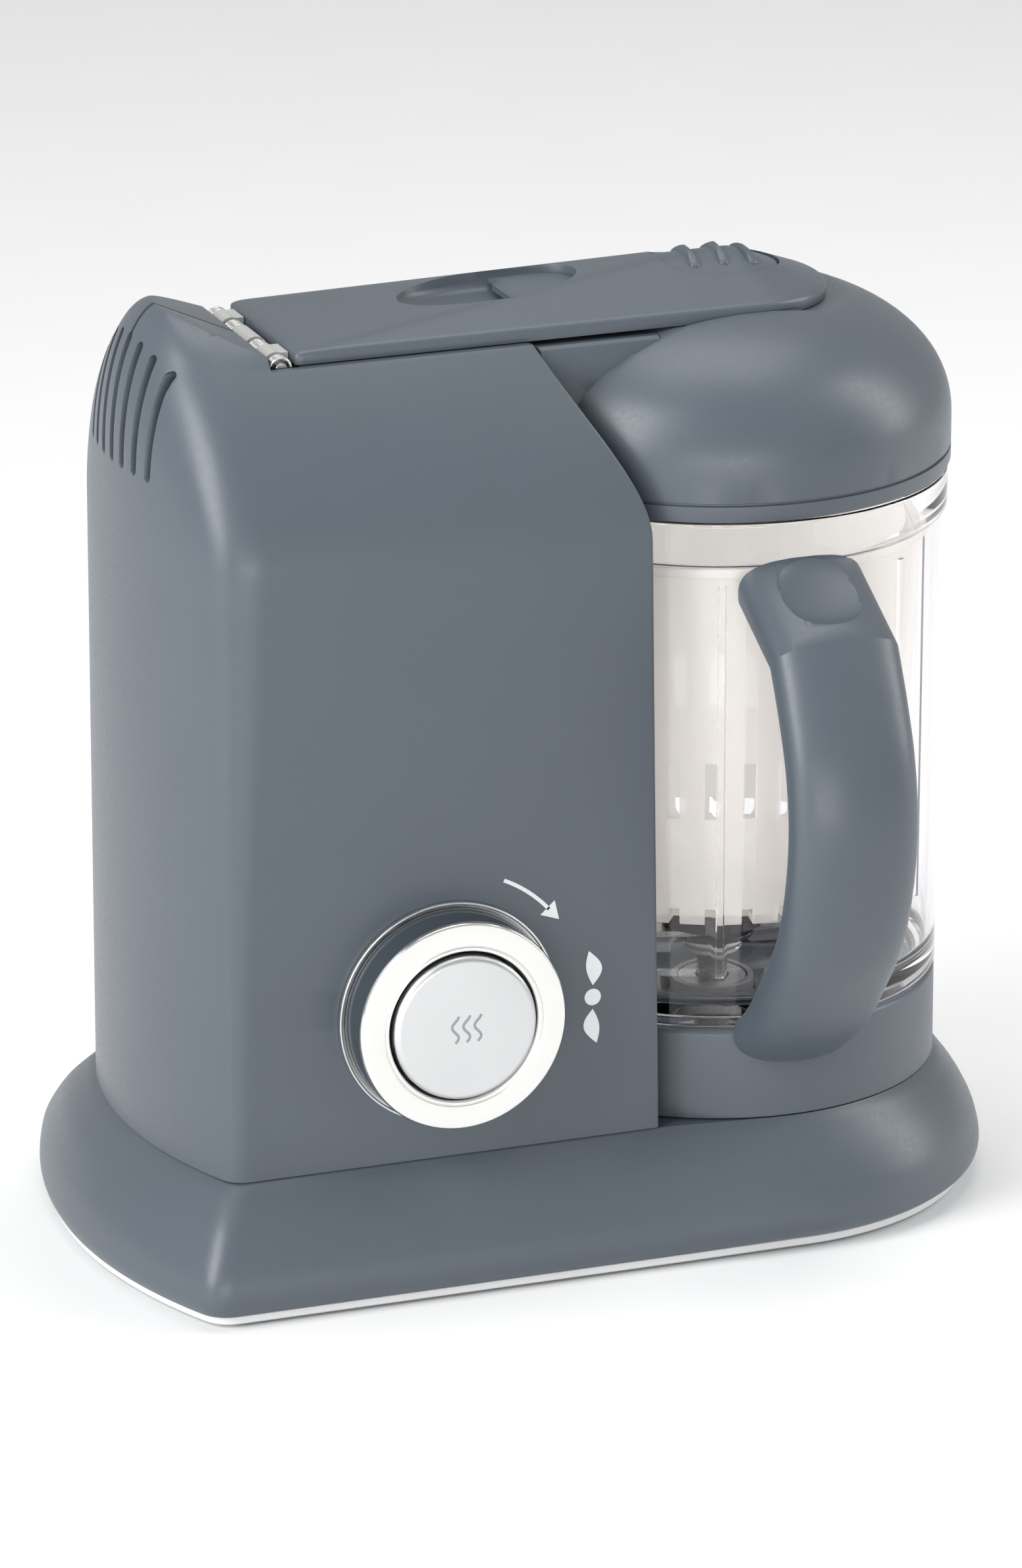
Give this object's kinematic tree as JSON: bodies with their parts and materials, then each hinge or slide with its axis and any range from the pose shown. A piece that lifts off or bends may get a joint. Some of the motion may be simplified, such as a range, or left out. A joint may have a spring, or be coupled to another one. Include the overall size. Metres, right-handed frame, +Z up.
{
  "type": "baby food maker",
  "caption": "Countertop steamer and blender for baby food: tower with boiler and knob, hinged arm with domed lid, clear jar with basket and blade.",
  "frame": {"origin": "middle of the footprint's bounding box, on the surface the four feet stand on", "axes": "+X from the tower towards the jar, -Y the side with the knob and the jar's handle, +Z up"},
  "size_m": [0.2796, 0.1956, 0.2832],
  "materials": {
    "body_grey": "satin moulded slate grey",
    "plate_pale": "pale grey moulded",
    "foot_rubber": "matt rubber",
    "jar_clear": "clear, faintly violet at its edges",
    "basket_milky": "translucent milky white",
    "silicone": "soft silicone",
    "black_plastic": "black moulded",
    "steel": "bright steel",
    "chrome": "satin chrome",
    "button_silver": "finely brushed silver",
    "aluminium": "cast, satin",
    "board_green": "circuit board",
    "hinge_white": "natural acetal"
  },
  "bodies": {
    "root": {"base_skirt": "body_grey", "base_plate": "plate_pale", "foot_1": "foot_rubber", "foot_2": "foot_rubber", "foot_3": "foot_rubber", "foot_4": "foot_rubber", "plate_screw_1": "steel", "plate_screw_2": "steel", "plate_screw_3": "steel", "plate_screw_4": "steel", "cord_inlet": "black_plastic", "tower_casing": "body_grey", "jar_collar": "body_grey", "bearing_lower": "steel", "bearing_upper": "steel", "bearing_housing": "aluminium", "drive_belt": "foot_rubber", "motor": "aluminium", "motor_bracket": "steel", "boiler_tank": "steel", "tank_gasket": "silicone", "heater_plate": "aluminium", "thermostat": "black_plastic", "boiler_bracket": "steel", "hinge_pin": "steel", "hinge_block": "hinge_white", "hinge_spring_1": "steel", "hinge_spring_2": "steel", "hinge_spring_3": "steel", "hinge_spring_4": "steel", "knob_bezel": "chrome", "rotary_switch": "black_plastic", "control_board": "board_green"},
    "lid": {"arm_cover": "body_grey", "arm_tray": "body_grey", "steam_duct": "silicone", "dome_lid": "body_grey", "lid_seal": "silicone", "steam_nozzle": "black_plastic", "hinge_knuckle_front": "hinge_white", "hinge_knuckle_rear": "hinge_white", "button_spring": "steel"},
    "lever": {"latch_lever": "body_grey"},
    "slider": {"latch_slider": "black_plastic"},
    "button": {"release_button": "body_grey"},
    "knob": {"knob_ring": "chrome", "knob_shaft": "steel", "steam_button_spring": "steel"},
    "knob_button": {"steam_button": "button_silver"},
    "jar": {"jar_body": "jar_clear", "jar_handle": "body_grey", "steam_basket": "basket_milky", "jar_bush": "silicone"},
    "cutter": {"driven_pulley": "black_plastic", "spindle": "steel", "blade_hub": "black_plastic", "blade_seat": "black_plastic", "blade": "steel"},
    "motor_rotor": {"motor_pulley": "black_plastic", "motor_shaft": "steel"}
  },
  "joints": [
    {"name": "lid_hinge", "type": "hinge", "parent": "root", "child": "lid", "pos_m": [-0.08275, 0.01825, 0.2674], "axis": [0, -1, 0], "range_deg": [0, 80]},
    {"name": "lever_pull", "type": "hinge", "parent": "lid", "child": "lever", "pos_m": [0.01475, 0.01825, 0.2759], "axis": [0, 1, 0], "range_deg": [0, 21.6]},
    {"name": "latch_slide", "type": "slide", "parent": "lid", "child": "slider", "axis": [1, 0, 0], "range_m": [0, 0.0025], "stiffness_N_per_m": 600},
    {"name": "button_press", "type": "slide", "parent": "lid", "child": "button", "axis": [0, 0, -1], "range_m": [0, 0.002], "stiffness_N_per_m": 400, "deforming": ["button_spring"]},
    {"name": "knob_turn", "type": "hinge", "parent": "root", "child": "knob", "pos_m": [-0.04575, -0.05725, 0.0825], "axis": [0, 1, 0], "range_deg": [0, 40], "stiffness_Nm_per_rad": 0.06},
    {"name": "knob_button_press", "type": "slide", "parent": "knob", "child": "knob_button", "axis": [0, 1, 0], "range_m": [0, 0.002], "stiffness_N_per_m": 500, "deforming": ["steam_button_spring"]},
    {"name": "jar_turn", "type": "hinge", "parent": "root", "child": "jar", "pos_m": [0.06025, 0.01825, 0.06], "axis": [0, 0, 1], "range_deg": [0, 30]},
    {"name": "blade_spin", "type": "hinge", "parent": "root", "child": "cutter", "pos_m": [0.06025, 0.01825, 0.06], "axis": [0, 0, 1], "continuous": true},
    {"name": "motor_spin", "type": "hinge", "parent": "root", "child": "motor_rotor", "pos_m": [-0.05975, 0.01825, 0.06], "axis": [0, 0, 1], "continuous": true}
  ],
  "couplings": [
    {"joint": "motor_spin", "follows": "blade_spin", "ratio": 3},
    {"joint": "lever_pull", "follows": "latch_slide", "rad_per_m": 150}
  ]
}
